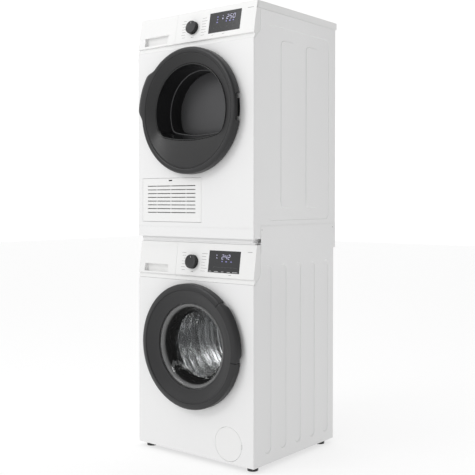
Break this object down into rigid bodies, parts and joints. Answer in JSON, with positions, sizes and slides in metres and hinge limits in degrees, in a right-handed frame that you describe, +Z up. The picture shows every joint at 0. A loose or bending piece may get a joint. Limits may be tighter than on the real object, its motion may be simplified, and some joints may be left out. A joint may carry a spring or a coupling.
{
  "type": "washer dryer stack",
  "caption": "Front-loading washing machine with a tumble dryer stacked on it, with opening doors, drawers, flap, knobs and turning drums.",
  "frame": {"origin": "on the floor, under the middle of the stack", "axes": "+X to the right of a person facing the doors, +Y towards the rear, +Z up"},
  "size_m": [0.599, 0.6, 1.74],
  "materials": {
    "white_paint": "smooth baked enamel",
    "white_plastic": "fine satin moulded plastic",
    "galvanised_steel": "plain zinc-coated sheet",
    "stainless_steel": "polished stainless steel",
    "dark_plastic": "satin anthracite plastic",
    "black_plastic": "black moulded plastic",
    "display_glass": "smoked display window",
    "door_glass": "clear pressed glass",
    "grey_rubber": "grey moulded rubber",
    "black_rubber": "black rubber belt",
    "grey_plastic": "grey moulded plastic",
    "hinge_metal": "black coated steel",
    "motor_metal": "cast and pressed aluminium",
    "weight_concrete": "cast concrete"
  },
  "bodies": {
    "cabinet": {"cabinet_screws": "hinge_metal", "display_windows": "display_glass", "door_hinge_pins": "hinge_metal", "dryer_base_tray": "white_paint", "dryer_door_hinge": "hinge_metal", "dryer_drum_belt": "black_rubber", "dryer_drum_glides": "black_plastic", "dryer_fascia": "white_plastic", "dryer_front_panel": "white_paint", "dryer_heat_exchanger": "motor_metal", "dryer_left_side_panel": "white_paint", "dryer_lid": "white_plastic", "dryer_lint_filter": "grey_plastic", "dryer_motor": "motor_metal", "dryer_rear_panel": "galvanised_steel", "dryer_right_side_panel": "white_paint", "stacking_left_rail": "white_paint", "stacking_plate": "white_paint", "stacking_right_rail": "white_paint", "washer_base_tray": "black_plastic", "washer_counterweights": "weight_concrete", "washer_door_gasket": "grey_rubber", "washer_door_hinge": "hinge_metal", "washer_drain_pump": "black_plastic", "washer_drawer_housing": "grey_plastic", "washer_drive_belt": "black_rubber", "washer_drum_bearings": "galvanised_steel", "washer_fascia": "white_plastic", "washer_feet": "black_plastic", "washer_front_panel": "white_paint", "washer_inlet_valve": "hinge_metal", "washer_left_side_panel": "white_paint", "washer_motor": "motor_metal", "washer_rear_panel": "galvanised_steel", "washer_right_side_panel": "white_paint", "washer_suspension_dampers": "hinge_metal", "washer_suspension_springs": "hinge_metal", "washer_tub": "grey_plastic"},
    "washer_door": {"washer_door_ring": "dark_plastic", "washer_door_inner_frame": "black_plastic", "washer_door_glass": "door_glass"},
    "washer_handle": {"washer_door_handle": "dark_plastic"},
    "washer_knob": {"washer_program_knob": "dark_plastic"},
    "washer_drawer": {"washer_drawer_front": "white_plastic", "washer_detergent_drawer": "grey_plastic"},
    "washer_drum": {"washer_drum": "stainless_steel", "washer_drum_lifters": "stainless_steel", "washer_drum_pulley": "galvanised_steel"},
    "washer_motor_rotor": {"washer_motor_pulley": "galvanised_steel"},
    "filter_cover": {"washer_filter_cover": "white_plastic"},
    "pump_filter": {"washer_pump_filter": "grey_plastic"},
    "dryer_door": {"dryer_door_ring": "dark_plastic", "dryer_door_funnel": "dark_plastic", "dryer_door_bowl": "black_plastic"},
    "dryer_knob": {"dryer_program_knob": "dark_plastic"},
    "water_tank": {"dryer_water_tank": "white_plastic"},
    "dryer_drum": {"dryer_drum": "stainless_steel", "dryer_drum_lifters": "stainless_steel"},
    "dryer_rotor": {"dryer_motor_rotor": "galvanised_steel"},
    "service_flap": {"dryer_service_flap": "white_plastic"}
  },
  "joints": [
    {"name": "washer_door_hinge", "type": "hinge", "parent": "cabinet", "child": "washer_door", "pos_m": [-0.23, -0.283, 0.4425], "axis": [0, 0, -1], "range_deg": [0, 130]},
    {"name": "washer_handle_pull", "type": "hinge", "parent": "washer_door", "child": "washer_handle", "pos_m": [0.20832, -0.294, 0.51627], "axis": [0.3338, 0, -0.9426], "range_deg": [0, 10], "stiffness_Nm_per_rad": 0.5},
    {"name": "washer_knob_turn", "type": "hinge", "parent": "cabinet", "child": "washer_knob", "pos_m": [-0.007, -0.25205, 0.768], "axis": [0, -0.989, 0.1476], "continuous": true},
    {"name": "detergent_drawer_slide", "type": "slide", "parent": "cabinet", "child": "washer_drawer", "axis": [0, -1, 0], "range_m": [0, 0.19]},
    {"name": "washer_drum_spin", "type": "hinge", "parent": "cabinet", "child": "washer_drum", "pos_m": [0, 0, 0.4425], "axis": [0, -1, 0], "continuous": true},
    {"name": "washer_motor_spin", "type": "hinge", "parent": "cabinet", "child": "washer_motor_rotor", "pos_m": [0, 0.1, 0.122], "axis": [0, -1, 0], "continuous": true},
    {"name": "filter_cover_hinge", "type": "hinge", "parent": "cabinet", "child": "filter_cover", "pos_m": [0.1134, -0.26, 0.09], "axis": [0, 0, -1], "range_deg": [0, 100]},
    {"name": "pump_filter_turn", "type": "hinge", "parent": "cabinet", "child": "pump_filter", "pos_m": [0.177, -0.24, 0.09], "axis": [0, -1, 0], "range_deg": [0, 90]},
    {"name": "dryer_door_hinge", "type": "hinge", "parent": "cabinet", "child": "dryer_door", "pos_m": [0.23, -0.283, 1.35], "axis": [0, 0, 1], "range_deg": [0, 130]},
    {"name": "dryer_knob_turn", "type": "hinge", "parent": "cabinet", "child": "dryer_knob", "pos_m": [-0.006, -0.2499, 1.6715], "axis": [0, -0.9822, 0.1878], "continuous": true},
    {"name": "water_tank_slide", "type": "slide", "parent": "cabinet", "child": "water_tank", "axis": [0, -1, 0], "range_m": [0, 0.45]},
    {"name": "dryer_drum_spin", "type": "hinge", "parent": "cabinet", "child": "dryer_drum", "pos_m": [0, 0, 1.35], "axis": [0, -1, 0], "continuous": true},
    {"name": "dryer_motor_spin", "type": "hinge", "parent": "cabinet", "child": "dryer_rotor", "pos_m": [0.19, 0.1, 0.985], "axis": [0, -1, 0], "continuous": true},
    {"name": "service_flap_hinge", "type": "hinge", "parent": "cabinet", "child": "service_flap", "pos_m": [-0.1155, -0.2588, 0.9232], "axis": [1, 0, 0], "range_deg": [0, 90]}
  ],
  "couplings": [
    {"joint": "washer_motor_spin", "follows": "washer_drum_spin", "ratio": 11.667},
    {"joint": "dryer_motor_spin", "follows": "dryer_drum_spin", "ratio": 27.8}
  ]
}
